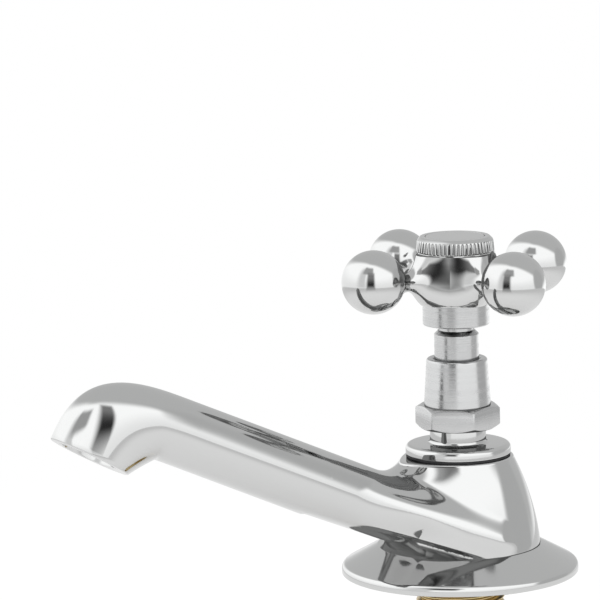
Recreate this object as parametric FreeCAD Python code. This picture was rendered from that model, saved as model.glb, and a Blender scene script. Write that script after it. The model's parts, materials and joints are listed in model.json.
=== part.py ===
# Pillar basin tap with a four-ball cross handle, in millimetres.
# The origin is on the tap's turning axis at deck level: +Z is up and the spout points along -Y.
import FreeCAD, Part
import math
import os

from FreeCAD import Vector

os.makedirs("parts", exist_ok=True)

# ---- fits and clearances -------------------------------------------------------
thread_gap = 0.05          # radial gap between a drawn male thread and its female thread
running_gap = 0.05         # radial gap of a part that turns or slides in a bore
loose_gap = 0.3            # radial gap round a part that only passes through
seat_gap = 0.25            # axial room that is left where two parts may meet at the end of travel
cut_over = 1.0             # how far a cutting tool runs past the face that it opens
same_size = 1e-6           # lengths that differ by less are equal

# ---- deck flange and what clamps the tap to the deck ---------------------------
flange_r = 28.0            # outer radius of the deck flange
flange_rim = 2.0           # height of its upright rim
flange_rim_round = 1.6     # radius that joins the rim to the sloping top
flange_top = 6.8           # height of the flat seat that the body stands on
flange_seat_r = 19.4       # radius of that seat
flange_land = 3.4          # width of the ring that bears on the deck
gasket_depth = 1.2         # thickness of the sealing ring under the flange
spigot_r = 14.4            # radius of the body's spigot inside the flange
spigot_foot = 1.6          # height of the spigot's lower end above the deck
deck_thickness = 16.0      # deck between the flange and the fixing washer
washer_margin = 0.18       # the fixing washer stands out past the back nut's corners
washer_thickness = 2.4
nut_flats = 30.0           # back nut, across flats
nut_height = 8.0
nut_chamfer = 1.0

# ---- threaded tail, G 1/2 ------------------------------------------------------
tail_major_r = 20.955 / 2
tail_pitch = 1.814
tail_thread_depth = 1.162
tail_length = 46.0         # below the deck
tail_engaged = 4.6         # length of tail screwed into the spigot
tail_bore_r = 6.2
tail_plain = 1.5           # plain lead at the free end
thread_crest = 0.16        # width of a thread's crest, as a share of the pitch
tail_seal_thickness = 1.0
tail_seal_width = 2.6

# ---- body: the tower -----------------------------------------------------------
body_top = 28.0            # height of the face that the bonnet clamps
tower_top_r = 13.1         # radius at the upper edge
tower_top_round = 0.6
tower_foot_r = 19.1        # radius at the lower edge
tower_bow = 0.95           # how far the side bows out from the straight line between them
tower_root = 14.0          # length of tower that the blend needs below the foot, then cut off
inlet_r = 5.0              # hole through the valve seat
seat_r = 7.0               # radius of the raised seat
seat_height = 11.5
chamber_floor = 8.7
chamber_r = 11.0
chamber_top = 20.4

# ---- body: the spout -----------------------------------------------------------
spout_axis_z = 8.05        # height at which the spout's axis meets the tower's axis
spout_rise = 24.5          # degrees above level
spout_root_r = 8.12        # radius of the arm at the tower's axis
spout_slimming = 0.0044    # loss of radius for each millimetre of length
spout_blend = 16.0         # radius of the blend between arm and tower
undercut = 4.2             # the blend stops this far below the arm's axis, in a crisp edge
arm_end = 83.4             # distance along the arm where it starts to curve into the nose
nose_join = 12.0           # length of straight arm that is lofted with the nose
nose_fullness = 3.2        # 2 is a plain ellipse, more is squarer
nose_corner = 89.0         # distance along the arm of the inner corner
nose_corner_share = 0.35   # share of the nose's sections that lie before that corner
nose_sections = 6
nose_overhang = 0.1        # how far the nose bulges past the mouth's outer lip
mouth_centre = (104.7, -12.0)  # along the arm, and above the arm's axis
mouth_tilt = 5.6           # degrees between the mouth's plane and the arm
mouth_long_r = 10.2        # half length of the mouth's rim, along the arm
mouth_wide_r = 7.85        # half width of the mouth's rim
waterway_r = 4.4
waterway_start = 10.6      # distance along the arm where the waterway leaves the chamber
waterway_end = 97.4
outlet_r = 6.2
outlet_offset = 0.5        # outlet bore's centre past the rim's centre
outlet_depth = 6.2         # from the mouth to the centre of the bore's domed end

# ---- headworks: bonnet, gland nut and packing ----------------------------------
bonnet_gasket_thickness = 0.5
bonnet_gasket_r = 12.5
bonnet_thread_r = 9.4
bonnet_foot = 20.0         # lower end of the bonnet, which stops the opening valve
bonnet_flange_r = 12.4
bonnet_flange_height = 2.5
bonnet_flange_round = 1.9
neck_r = 6.6               # shoulder under the gland nut
neck_height = 3.7
neck_fillet = 0.9
gland_thread_r = 6.4
gland_thread_top = 42.6
packing_r = 5.2
packing_height = 3.6
packing_top = 40.8
follower_flange_r = 6.2
follower_flange = 1.3
gland_flats = 17.5
gland_hex_height = 5.5
gland_chamfer_deg = 30.0
gland_hex_turn = 17.5      # degrees that the hexagon is turned about the axis
sleeve_foot_r = 7.85
sleeve_top_r = 7.15
sleeve_height = 11.1
sleeve_round = 1.6

# ---- spindle and valve ---------------------------------------------------------
shaft_r = 4.0
collar_r = 5.25
collar_room = 1.05         # between the packing's follower and the collar
collar_top = 57.9
collar_chamfer = 0.95
square_flats = 5.6         # drive square under the handle
square_room = 3.1          # round neck between the collar and the square
square_short = 0.4         # the square's end stays this far below the screw's washer
jumper_hole_depth = 10.0
jumper_stem_r = 1.5
jumper_plate_r = 7.0
jumper_plate_height = 2.0
tap_washer_height = 2.5
tap_washer_r = 6.6
stud_r = 2.0
washer_nut_flats = 6.4
washer_nut_height = 2.0

# ---- cross handle --------------------------------------------------------------
skirt_r = 7.85
skirt_hang = 1.7           # the skirt's lower end lies this far below the square's
skirt_top = 64.4
skirt_bore_r = 5.8
belly_leaves = (0.5, 1.0)  # direction in which the belly's outline leaves the skirt
belly_r = 9.3
belly_z = 68.6
hub_r = 8.8
hub_waist_z = 71.8
hub_neck_z = 73.4
hub_rim_r = 9.0
hub_rim_foot = 75.0
rim_meets = (0.05, 1.0)    # direction in which the outline runs into the rim
hub_top = 76.7
ball_r = 7.45
ball_reach = 23.2          # handle axis to ball centre
ball_z = 71.6
arm_r = 2.15
arm_z = 70.5
arm_fillet = 1.8           # radius at the ball; the flare at the hub is twice as long
arm_root = 1.64            # depth inside the hub's waist at which that flare starts
arms = 4
recess_r = 7.0             # bore in the top of the hub, for the screw and the cap's spigot
recess_depth = 4.7

# ---- handle screw and cap ------------------------------------------------------
screw_r = 2.0
screw_length = 9.0
screw_head_r = 3.5
screw_head_height = 1.8
screw_washer_r = 4.6
screw_washer_height = 0.6
slot_width = 0.9
slot_depth = 0.9
cap_r = 9.2
cap_top_r = 8.9            # radius at the top of the knurled band
cap_height = 3.5
cap_bevel = 0.8
cap_spigot = 2.6
cap_wall = 1.4
knurl_ridges = 54
knurl_groove_r = 0.45
knurl_depth = 0.32
disc_r = 7.0
disc_height = 1.0


# ---- helpers -------------------------------------------------------------------
def cylinder(r, z0, z1):
    return Part.makeCylinder(r, z1 - z0, Vector(0, 0, z0))


def ring(r_in, r_out, z0, z1):
    return cylinder(r_out, z0, z1).cut(cylinder(r_in, z0 - cut_over, z1 + cut_over))


def revolved(edges):
    face = Part.Face(Part.Wire(edges))
    return face.revolve(Vector(0, 0, 0), Vector(0, 0, 1), 360)


def at(r, z):
    return Vector(r, 0, z)


def line(a, b):
    return Part.makeLine(at(*a), at(*b))


def arc(a, mid, b):
    return Part.Arc(at(*a), at(*mid), at(*b)).toShape()


def polygon_solid(points):
    return revolved([line(a, b) for a, b in zip(points, points[1:] + points[:1])])


def hexagon(flats, z0, z1, turn=0.0):
    corner = flats / math.sqrt(3)
    spots = []
    for i in range(7):
        angle = math.radians(turn + 60 * i)
        spots.append(Vector(corner * math.cos(angle), corner * math.sin(angle), z0))
    return Part.Face(Part.makePolygon(spots)).extrude(Vector(0, 0, z1 - z0))


def chamfered_hexagon(flats, z0, z1, slope_deg, turn=0.0):
    corner = flats / math.sqrt(3)
    flat_r = flats / 2
    drop = (corner - flat_r) * math.tan(math.radians(slope_deg))
    profile = [
        (0, z0),
        (flat_r, z0),
        (corner, z0 + drop),
        (corner, z1 - drop),
        (flat_r, z1),
        (0, z1),
    ]
    return hexagon(flats, z0, z1, turn).common(polygon_solid(profile))


def round_edges(shape, radius, wanted):
    edges = [e for e in shape.Edges if wanted(e)]
    return shape.makeFillet(radius, edges)


def circle_edge(r, z):
    """Picks the full circles of radius r at height z."""
    def wanted(edge):
        if not isinstance(edge.Curve, Part.Circle):
            return False
        return abs(edge.Curve.Radius - r) < 0.01 and abs(edge.Curve.Center.z - z) < 0.01
    return wanted


def threaded_rod(major_r, pitch, depth, z0, z1, gap=0.0):
    """A rod whose thread is drawn as rings, from z1 down to z0; gap widens it into a cutter."""
    crest = major_r + gap
    root = crest - depth
    points = [(0, z1), (root, z1)]
    top = z1
    while top - pitch > z0:
        points.append((crest, top - (1 - thread_crest) / 2 * pitch))
        points.append((crest, top - (1 + thread_crest) / 2 * pitch))
        points.append((root, top - pitch))
        top -= pitch
    points.append((root, z0))
    points.append((0, z0))
    return polygon_solid(points)


def save(name, shape):
    solids = shape.Solids
    if len(solids) != 1 or not solids[0].isValid():
        print("CHECK", name, "solids:", len(solids), "valid:", shape.isValid())
    solids[0].exportStep("parts/%s.step" % name)


# ---- worked-out heights --------------------------------------------------------
washer_top = -deck_thickness
washer_r = nut_flats / math.sqrt(3) + washer_margin
nut_top = washer_top - washer_thickness
tail_foot = -tail_length
tail_head = spigot_foot + tail_engaged
seal_top = tail_head + tail_seal_thickness
gasket_top = body_top + bonnet_gasket_thickness
bonnet_flange_top = gasket_top + bonnet_flange_height
gland_foot = bonnet_flange_top + neck_height
hex_top = gland_foot + gland_hex_height
sleeve_top = hex_top + sleeve_height
follower_top = gland_thread_top + seat_gap + follower_flange
collar_foot = follower_top + collar_room
plate_foot = seat_height + tap_washer_height
plate_top = plate_foot + jumper_plate_height
shaft_foot = plate_top
washer_nut_foot = seat_height - washer_nut_height
square_foot = collar_top + square_room
skirt_foot = square_foot - skirt_hang
recess_foot = hub_top - recess_depth
screw_head_foot = recess_foot + screw_washer_height
cap_top = hub_top + cap_height
screw_tip = screw_head_foot - screw_length
square_top = recess_foot - square_short

# ---- the spout's own frame: s runs along the arm, h is square to it, upwards -----
rise = math.radians(spout_rise)
along = Vector(0, -math.cos(rise), math.sin(rise))
upward = Vector(0, math.sin(rise), math.cos(rise))
spout_origin = Vector(0, 0, spout_axis_z)


def spout_point(s, h):
    return spout_origin + along * s + upward * h


def arm_radius(s):
    return spout_root_r - spout_slimming * s


def oval_wire(inner, outer, half_width):
    """A circle or ellipse through two points of the spout's middle plane, half_width to each side."""
    half = (outer - inner) * 0.5
    centre = (outer + inner) * 0.5
    if abs(half.Length - half_width) < same_size:
        oval = Part.Circle()
        oval.Center = centre
        oval.Radius = half_width
    else:
        oval = Part.Ellipse(centre, half.Length, half_width)
    # every oval starts at its outer point and runs the same way round
    oval.Axis = Vector(1, 0, 0).cross(half)
    oval.XAxis = half
    return Part.Wire(oval.toShape())


def mouth_lip(sign):
    """The mouth's rim in the middle plane: sign is 1 at the outer lip and -1 at the inner one."""
    tilt = math.radians(mouth_tilt)
    s = mouth_centre[0] + sign * mouth_long_r * math.cos(tilt)
    h = mouth_centre[1] + sign * mouth_long_r * math.sin(tilt)
    return s, h


def nose_outline(share):
    """The inner and outer points of the nose's section at this share of the way to the mouth."""
    inner_lip = mouth_lip(-1)
    outer_lip = mouth_lip(1)
    top = arm_radius(arm_end)
    power = nose_fullness
    # the outer curve is a quarter of a squared-off ellipse, cut short at the outer lip
    reach = outer_lip[0] + nose_overhang - arm_end
    lip_x = (outer_lip[0] - arm_end) / reach
    lip_y = (1 - lip_x ** power) ** (1 / power)
    fall = (top - outer_lip[1]) / (1 - lip_y)
    turn = share * math.atan2(lip_x, lip_y)
    spread = (math.sin(turn) ** power + math.cos(turn) ** power) ** (-1 / power)
    outer = (arm_end + reach * spread * math.sin(turn), top - fall * (1 - spread * math.cos(turn)))
    if share <= nose_corner_share:
        inner = (arm_end + (nose_corner - arm_end) * share / nose_corner_share, -top)
    else:
        left = (share - nose_corner_share) / (1 - nose_corner_share)
        inner = (
            nose_corner + (inner_lip[0] - nose_corner) * left,
            -top + (inner_lip[1] + top) * left,
        )
    return inner, outer


def nose():
    """The curved end of the spout, lofted through ovals that fan out round the inner corner."""
    top = arm_radius(arm_end)
    wires = []
    for s in (arm_end - nose_join, arm_end - nose_join / 2):
        r = arm_radius(s)
        wires.append(oval_wire(spout_point(s, -r), spout_point(s, r), r))
    for i in range(nose_sections):
        share = i / (nose_sections - 1)
        inner, outer = nose_outline(share)
        width = top + (mouth_wide_r - top) * share
        wires.append(oval_wire(spout_point(*inner), spout_point(*outer), width))
    return Part.makeLoft(wires, True, False)


def tower():
    """The bowed tower, with extra length below its foot for the blend to run into."""
    side_top = (tower_top_r, body_top - tower_top_round)
    top_edge = (tower_top_r - tower_top_round, body_top)
    side_foot = (tower_foot_r, flange_top)
    chord = math.dist(side_top, side_foot)
    lean = (side_foot[0] - side_top[0]) / chord
    upright = (side_top[1] - side_foot[1]) / chord
    middle = (
        (side_top[0] + side_foot[0]) / 2 + tower_bow * upright,
        (side_top[1] + side_foot[1]) / 2 + tower_bow * lean,
    )
    bow = Part.Arc(at(*side_top), at(*middle), at(*side_foot)).toShape().Curve
    low = flange_top - tower_root
    low_r = bow.Center.x + math.sqrt(bow.Radius ** 2 - (low - bow.Center.z) ** 2)
    low_edge = (low_r, low)
    return revolved([
        line((0, low), low_edge),
        arc(low_edge, middle, side_top),
        line(side_top, top_edge),
        line(top_edge, (0, body_top)),
        line((0, body_top), (0, low)),
    ])


def beside_arm(height, side):
    """All space above (side 1) or below (side -1) the plane that lies at this height on the arm."""
    size = arm_end * 4
    across = Vector(size, 0, 0)
    corners = [spout_point(-size / 2, height) - across / 2]
    for step in (along * size, across, along * -size, across * -1):
        corners.append(corners[-1] + step)
    return Part.Face(Part.makePolygon(corners)).extrude(upward * side * size)


def casting():
    """The outside of the body: tower, arm and nose in one, blended, standing on the flange."""
    straight = arm_end - nose_join
    arm = Part.makeCone(arm_radius(0), arm_radius(straight), straight, spout_origin, along)
    sharp = tower().fuse(arm)
    meeting = [e for e in sharp.Edges if isinstance(e.Curve, Part.BSplineCurve)]
    blended = sharp.makeFillet(spout_blend, meeting)
    # the blend is kept above the undercut only
    shell = blended.common(beside_arm(-undercut, 1)).fuse(sharp.common(beside_arm(-undercut, -1)))
    shell = shell.fuse(nose())
    return shell.common(cylinder(arm_end * 2, flange_top, arm_end * 2))


def body():
    spigot = cylinder(spigot_r, spigot_foot, flange_top + cut_over)
    shell = casting().fuse(spigot)
    # the tail's thread and its seal, from below
    thread = threaded_rod(
        tail_major_r, tail_pitch, tail_thread_depth, spigot_foot - cut_over, tail_head, thread_gap
    )
    seal_seat = cylinder(tail_major_r, tail_head, seal_top)
    inlet = cylinder(inlet_r, seal_top - cut_over, seat_height + cut_over)
    # the valve chamber, with the raised seat left standing in it
    chamber = cylinder(chamber_r, chamber_floor, chamber_top)
    chamber = chamber.cut(cylinder(seat_r, chamber_floor - cut_over, seat_height))
    bonnet_hole = cylinder(bonnet_thread_r + thread_gap, chamber_top - cut_over, body_top + cut_over)
    waterway = Part.makeCylinder(
        waterway_r, waterway_end - waterway_start, spout_point(waterway_start, 0), along
    )
    waterway = waterway.fuse(Part.makeSphere(waterway_r, spout_point(waterway_end, 0)))
    tilt = math.radians(mouth_tilt)
    outward = (along * math.cos(tilt) + upward * math.sin(tilt))
    inward = (upward * math.cos(tilt) - along * math.sin(tilt))
    mouth = spout_point(*mouth_centre) + outward * outlet_offset
    outlet = Part.makeCylinder(outlet_r, outlet_depth + cut_over, mouth - inward * cut_over, inward)
    outlet = outlet.fuse(Part.makeSphere(outlet_r, mouth + inward * outlet_depth))
    for tool in (thread, seal_seat, inlet, chamber, bonnet_hole, waterway, outlet):
        shell = shell.cut(tool)
    return shell


# ---- deck hardware -------------------------------------------------------------
def base_flange():
    slope_foot = (flange_r, flange_rim)
    blank = revolved([
        line((0, 0), (flange_r, 0)),
        line((flange_r, 0), slope_foot),
        line(slope_foot, (flange_seat_r, flange_top)),
        line((flange_seat_r, flange_top), (0, flange_top)),
        line((0, flange_top), (0, 0)),
    ])
    blank = round_edges(blank, flange_rim_round, circle_edge(flange_r, flange_rim))
    hole = cylinder(spigot_r + loose_gap, -cut_over, flange_top + cut_over)
    recess = cylinder(flange_r - flange_land, -cut_over, gasket_depth)
    return blank.cut(hole).cut(recess)


def deck_gasket():
    return ring(tail_major_r + loose_gap, flange_r - flange_land - thread_gap, 0, gasket_depth)


def inlet_tail():
    rod = threaded_rod(
        tail_major_r, tail_pitch, tail_thread_depth, tail_foot + tail_plain, tail_head
    )
    lead = cylinder(tail_major_r - tail_thread_depth, tail_foot, tail_foot + tail_plain)
    bore = cylinder(tail_bore_r, tail_foot - cut_over, tail_head + cut_over)
    return rod.fuse(lead).cut(bore).removeSplitter()


def tail_seal():
    outer = tail_major_r - thread_gap
    return ring(outer - tail_seal_width, outer, tail_head, seal_top)


def fixing_washer():
    return ring(tail_major_r + loose_gap, washer_r, nut_top, washer_top)


def back_nut():
    nut_foot = nut_top - nut_height
    blank = chamfered_hexagon(nut_flats, nut_foot, nut_top, gland_chamfer_deg)
    thread = threaded_rod(
        tail_major_r, tail_pitch, tail_thread_depth, tail_foot + tail_plain, tail_head, thread_gap
    )
    lead_r = tail_major_r + thread_gap
    lead_in = Part.makeCone(lead_r - nut_chamfer, lead_r, nut_chamfer, Vector(0, 0, nut_top - nut_chamfer))
    return blank.cut(thread).cut(lead_in)


# ---- headworks -----------------------------------------------------------------
def bonnet_gasket():
    return ring(bonnet_thread_r + thread_gap, bonnet_gasket_r, body_top, gasket_top)


def bonnet():
    flange = cylinder(bonnet_flange_r, gasket_top, bonnet_flange_top)
    flange = round_edges(
        flange, bonnet_flange_round, circle_edge(bonnet_flange_r, bonnet_flange_top)
    )
    neck_top = gland_foot - seat_gap
    neck = cylinder(neck_r, bonnet_flange_top - cut_over, neck_top)
    stem = flange.fuse(neck)
    stem = round_edges(stem, neck_fillet, circle_edge(neck_r, bonnet_flange_top))
    lower = cylinder(bonnet_thread_r, bonnet_foot, gasket_top)
    upper = cylinder(gland_thread_r, neck_top - cut_over, gland_thread_top)
    blank = stem.fuse(lower).fuse(upper)
    bore = cylinder(shaft_r + running_gap, bonnet_foot - cut_over, gland_thread_top + cut_over)
    box = cylinder(packing_r, packing_top - packing_height, gland_thread_top + cut_over)
    return blank.cut(bore).cut(box)


def gland_nut():
    hexagon_part = chamfered_hexagon(
        gland_flats, gland_foot, hex_top, gland_chamfer_deg, gland_hex_turn
    )
    sleeve_length = sleeve_top - gland_foot
    slope = (sleeve_foot_r - sleeve_top_r) / sleeve_height
    foot_r = sleeve_top_r + slope * (sleeve_length - cut_over)
    sleeve = Part.makeCone(
        foot_r, sleeve_top_r, sleeve_length - cut_over, Vector(0, 0, gland_foot + cut_over)
    )
    sleeve = round_edges(sleeve, sleeve_round, circle_edge(sleeve_top_r, sleeve_top))
    blank = hexagon_part.fuse(sleeve)
    thread = cylinder(gland_thread_r + thread_gap, gland_foot - cut_over, follower_top)
    bore = cylinder(collar_r + running_gap, follower_top - cut_over, sleeve_top + cut_over)
    return blank.cut(thread).cut(bore)


def gland_packing():
    return ring(
        shaft_r + running_gap, packing_r - thread_gap, packing_top - packing_height, packing_top
    )


def packing_follower():
    flange = cylinder(follower_flange_r, follower_top - follower_flange, follower_top)
    spigot = cylinder(packing_r - running_gap, packing_top, follower_top)
    bore = cylinder(shaft_r + running_gap, packing_top - cut_over, follower_top + cut_over)
    return flange.fuse(spigot).cut(bore).removeSplitter()


# ---- moving parts --------------------------------------------------------------
def square_bar(flats, z0, z1):
    return Part.makeBox(flats, flats, z1 - z0, Vector(-flats / 2, -flats / 2, z0))


def spindle():
    shaft = cylinder(shaft_r, shaft_foot, collar_foot + cut_over)
    collar = polygon_solid([
        (0, collar_foot),
        (collar_r, collar_foot),
        (collar_r, collar_top - collar_chamfer),
        (collar_r - collar_chamfer, collar_top),
        (0, collar_top),
    ])
    neck = cylinder(shaft_r, collar_top - cut_over, square_foot)
    drive = square_bar(square_flats, square_foot - cut_over, square_top)
    drive = drive.common(cylinder(shaft_r, square_foot - cut_over, square_top))
    stem_hole = cylinder(jumper_stem_r + running_gap, shaft_foot - cut_over, shaft_foot + jumper_hole_depth)
    screw_hole = cylinder(screw_r + thread_gap, screw_tip - seat_gap, square_top + cut_over)
    return shaft.fuse(collar).fuse(neck).fuse(drive).cut(stem_hole).cut(screw_hole)


def jumper():
    plate = cylinder(jumper_plate_r, plate_foot, plate_top)
    plate = round_edges(plate, jumper_plate_height / 4, circle_edge(jumper_plate_r, plate_top))
    stem = cylinder(jumper_stem_r, plate_top - cut_over, plate_top + jumper_hole_depth - seat_gap)
    stud = cylinder(stud_r, washer_nut_foot, plate_foot + cut_over)
    return plate.fuse(stem).fuse(stud)


def tap_washer():
    return ring(stud_r + thread_gap, tap_washer_r, seat_height, plate_foot)


def washer_nut():
    blank = chamfered_hexagon(washer_nut_flats, washer_nut_foot, seat_height, gland_chamfer_deg)
    return blank.cut(cylinder(stud_r + thread_gap, washer_nut_foot - cut_over, seat_height + cut_over))


def hub():
    """The turned middle of the handle: skirt, belly, waist and rim."""
    belly = Part.BSplineCurve()
    belly.interpolate(
        Points=[
            at(skirt_r, skirt_top),
            at(belly_r, belly_z),
            at(hub_r, hub_waist_z),
            at(hub_r, hub_neck_z),
            at(hub_rim_r, hub_rim_foot),
        ],
        InitialTangent=at(*belly_leaves),
        FinalTangent=at(*rim_meets),
    )
    return revolved([
        line((0, skirt_foot), (skirt_r, skirt_foot)),
        line((skirt_r, skirt_foot), (skirt_r, skirt_top)),
        belly.toShape(),
        line((hub_rim_r, hub_rim_foot), (hub_rim_r, hub_top)),
        line((hub_rim_r, hub_top), (0, hub_top)),
        line((0, hub_top), (0, skirt_foot)),
    ])


def flare(foot, tip):
    """An arc that leaves foot level and climbs to tip."""
    run = tip[0] - foot[0]
    climb = tip[1] - foot[1]
    radius = (run ** 2 + climb ** 2) / (2 * climb)
    half = math.asin(min(1.0, abs(run) / radius)) / 2
    middle = (
        foot[0] + math.copysign(radius * math.sin(half), run),
        foot[1] + radius * (1 - math.cos(half)),
    )
    return arc(foot, middle, tip)


def handle_arm(angle):
    """One arm with its ball: the neck flares into the hub and into the ball."""
    wide = arm_r + arm_fillet
    ball_edge = ball_reach - math.sqrt(ball_r ** 2 - wide ** 2)
    hub_edge = hub_r - arm_root
    neck_start = (hub_edge + 2 * arm_fillet, arm_r)
    neck_end = (ball_edge - arm_fillet, arm_r)
    outline = [
        line((0, 0), (0, wide)),
        line((0, wide), (hub_edge, wide)),
        flare(neck_start, (hub_edge, wide)),
        line(neck_start, neck_end),
        flare(neck_end, (ball_edge, wide)),
        line((ball_edge, wide), (ball_reach, wide)),
        line((ball_reach, wide), (ball_reach, 0)),
        line((ball_reach, 0), (0, 0)),
    ]
    neck = Part.Face(Part.Wire(outline)).revolve(Vector(0, 0, 0), Vector(1, 0, 0), 360)
    neck.translate(Vector(0, 0, arm_z))
    ball = Part.makeSphere(ball_r, Vector(ball_reach, 0, ball_z))
    arm = neck.fuse(ball)
    arm.rotate(Vector(0, 0, 0), Vector(0, 0, 1), angle)
    return arm


def cross_handle():
    shape = hub()
    for i in range(arms):
        shape = shape.fuse(handle_arm(360 / arms * i))
    skirt_bore = cylinder(skirt_bore_r, skirt_foot - cut_over, square_foot + seat_gap)
    socket = square_bar(square_flats + 2 * thread_gap, square_foot, recess_foot + cut_over)
    recess = cylinder(recess_r + thread_gap, recess_foot, hub_top + cut_over)
    return shape.cut(skirt_bore).cut(socket).cut(recess)


# ---- handle screw and cap ------------------------------------------------------
def screw_washer():
    return ring(screw_r + thread_gap, screw_washer_r, recess_foot, screw_head_foot)


def handle_screw():
    head_top = screw_head_foot + screw_head_height
    head = cylinder(screw_head_r, screw_head_foot, head_top)
    head = round_edges(head, screw_head_height / 2, circle_edge(screw_head_r, head_top))
    shank = cylinder(screw_r, screw_tip, screw_head_foot + cut_over)
    slot = Part.makeBox(
        2 * screw_head_r,
        slot_width,
        slot_depth + cut_over,
        Vector(-screw_head_r, -slot_width / 2, head_top - slot_depth),
    )
    return head.fuse(shank).cut(slot)


def cap_ring():
    bevel_r = cap_top_r - cap_bevel
    blank = polygon_solid([
        (0, hub_top),
        (cap_r, hub_top),
        (cap_top_r, cap_top - cap_bevel),
        (bevel_r, cap_top),
        (0, cap_top),
    ])
    # one groove of the knurl leans in with the band and is cut again and again round it
    out = knurl_groove_r - knurl_depth
    foot = at(cap_r + out, hub_top)
    slope = at(cap_top_r + out, cap_top - cap_bevel) - foot
    for i in range(knurl_ridges):
        groove = Part.makeCylinder(knurl_groove_r, 3 * slope.Length, foot - slope, slope)
        groove.rotate(Vector(0, 0, 0), Vector(0, 0, 1), 360 / knurl_ridges * i)
        blank = blank.cut(groove)
    spigot = cylinder(recess_r, hub_top - cap_spigot, hub_top + cut_over)
    seat = cylinder(disc_r, cap_top - disc_height, cap_top + cut_over)
    hollow = cylinder(recess_r - cap_wall, hub_top - cap_spigot - cut_over, cap_top - disc_height)
    return blank.fuse(spigot).cut(seat).cut(hollow)


def index_disc():
    disc = cylinder(disc_r - thread_gap, cap_top - disc_height, cap_top)
    return round_edges(disc, disc_height / 4, circle_edge(disc_r - thread_gap, cap_top))


NODES = [
    body, base_flange, deck_gasket, inlet_tail, tail_seal, fixing_washer, back_nut,
    bonnet_gasket, bonnet, gland_nut, gland_packing, packing_follower,
    spindle, jumper, tap_washer, washer_nut,
    cross_handle, screw_washer, handle_screw, cap_ring, index_disc,
]

for make in NODES:
    save(make.__name__, make())
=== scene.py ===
# A chrome pillar tap with a four-ball cross handle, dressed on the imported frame.
# Lengths in the dictionaries are millimetres; mm turns them into Blender's metres.
import bpy
import bmesh
import json
import math
import numpy as np
from mathutils import Matrix, Vector

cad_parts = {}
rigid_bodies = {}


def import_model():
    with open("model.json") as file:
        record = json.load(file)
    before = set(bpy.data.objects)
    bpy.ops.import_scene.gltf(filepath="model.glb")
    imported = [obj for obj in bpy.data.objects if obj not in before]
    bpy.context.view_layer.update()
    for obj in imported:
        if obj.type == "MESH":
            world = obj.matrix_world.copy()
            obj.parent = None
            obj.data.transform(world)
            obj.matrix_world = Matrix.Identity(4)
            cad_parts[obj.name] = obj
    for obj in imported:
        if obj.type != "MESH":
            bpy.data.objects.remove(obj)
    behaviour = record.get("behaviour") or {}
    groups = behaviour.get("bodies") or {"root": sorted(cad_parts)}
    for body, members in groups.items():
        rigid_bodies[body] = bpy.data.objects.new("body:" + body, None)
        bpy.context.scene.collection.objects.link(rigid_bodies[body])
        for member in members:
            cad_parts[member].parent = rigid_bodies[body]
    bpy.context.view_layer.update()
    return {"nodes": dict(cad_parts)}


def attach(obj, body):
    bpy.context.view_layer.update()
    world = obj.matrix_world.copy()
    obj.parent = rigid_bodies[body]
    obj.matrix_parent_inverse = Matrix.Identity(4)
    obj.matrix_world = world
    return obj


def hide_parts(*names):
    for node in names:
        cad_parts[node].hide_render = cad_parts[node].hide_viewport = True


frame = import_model()
mm = 0.001


def deselectAll():
    if bpy.context.object and bpy.context.object.mode != "OBJECT":
        bpy.ops.object.mode_set(mode="OBJECT")
    bpy.ops.object.select_all(action="DESELECT")


def pickOnly(piece):
    deselectAll()
    piece.select_set(True)
    bpy.context.view_layer.objects.active = piece


def newPiece(name, points=(), edges=()):
    mesh = bpy.data.meshes.new(name)
    mesh.from_pydata([Vector(p) * mm for p in points], edges, [])
    piece = bpy.data.objects.new(name, mesh)
    bpy.context.collection.objects.link(piece)
    pickOnly(piece)
    return piece


def rename(piece, name):
    piece.name = name
    piece.data.name = name
    return piece


def startEdit(piece, kind="VERT"):
    pickOnly(piece)
    bpy.ops.object.mode_set(mode="EDIT")
    bpy.ops.mesh.select_mode(type=kind)


def endEdit():
    bpy.ops.object.mode_set(mode="OBJECT")


def settlePlace(piece):
    pickOnly(piece)
    bpy.ops.object.transform_apply(location=True, rotation=True, scale=True)


def smoothByAngle(piece, degrees=32):
    pickOnly(piece)
    bpy.ops.object.shade_smooth_by_angle(angle=math.radians(degrees))


def useModifier(piece, kind, **settings):
    pickOnly(piece)
    modifier = piece.modifiers.new(kind.lower(), kind)
    for key, value in settings.items():
        setattr(modifier, key, value)
    bpy.ops.object.modifier_apply(modifier=modifier.name)


def joinPieces(pieces, name):
    deselectAll()
    for piece in pieces:
        piece.select_set(True)
    bpy.context.view_layer.objects.active = pieces[0]
    bpy.ops.object.join()
    return rename(pieces[0], name)


def cleanShell(piece, distance=0.002):
    startEdit(piece)
    bpy.ops.mesh.select_all(action="SELECT")
    bpy.ops.mesh.remove_doubles(threshold=distance * mm)
    bpy.ops.mesh.normals_make_consistent(inside=False)
    endEdit()


# rounds the corners of an outline given as (radius, height, corner round)
def roundedOutline(corners, roundSteps=5, hold=0.05):
    outline = []
    for i, (r, z, rounding) in enumerate(corners):
        here = Vector((r, z))
        if rounding <= 0 or i in (0, len(corners) - 1):
            outline.append(here)
            continue
        back = (Vector(corners[i - 1][:2]) - here)
        ahead = (Vector(corners[i + 1][:2]) - here)
        room = 0.48 * min(back.length, ahead.length)
        back.normalize()
        ahead.normalize()
        half = back.angle(ahead) / 2
        reach = min(rounding / math.tan(half), room)
        radius = reach * math.tan(half)
        centre = here + (back + ahead).normalized() * (radius / math.sin(half))
        first = here + back * reach
        last = here + ahead * reach
        if reach + hold < room:
            outline.append(first + back * hold)  # keeps the straight side's shading flat
        start = first - centre
        sweep = start.angle_signed(last - centre)
        for k in range(roundSteps + 1):
            turned = start.copy()
            turned.rotate(Matrix.Rotation(-sweep * k / roundSteps, 2))
            outline.append(centre + turned)
        if reach + hold < room:
            outline.append(last + ahead * hold)
    return [(p.x, p.y) for p in outline]


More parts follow.
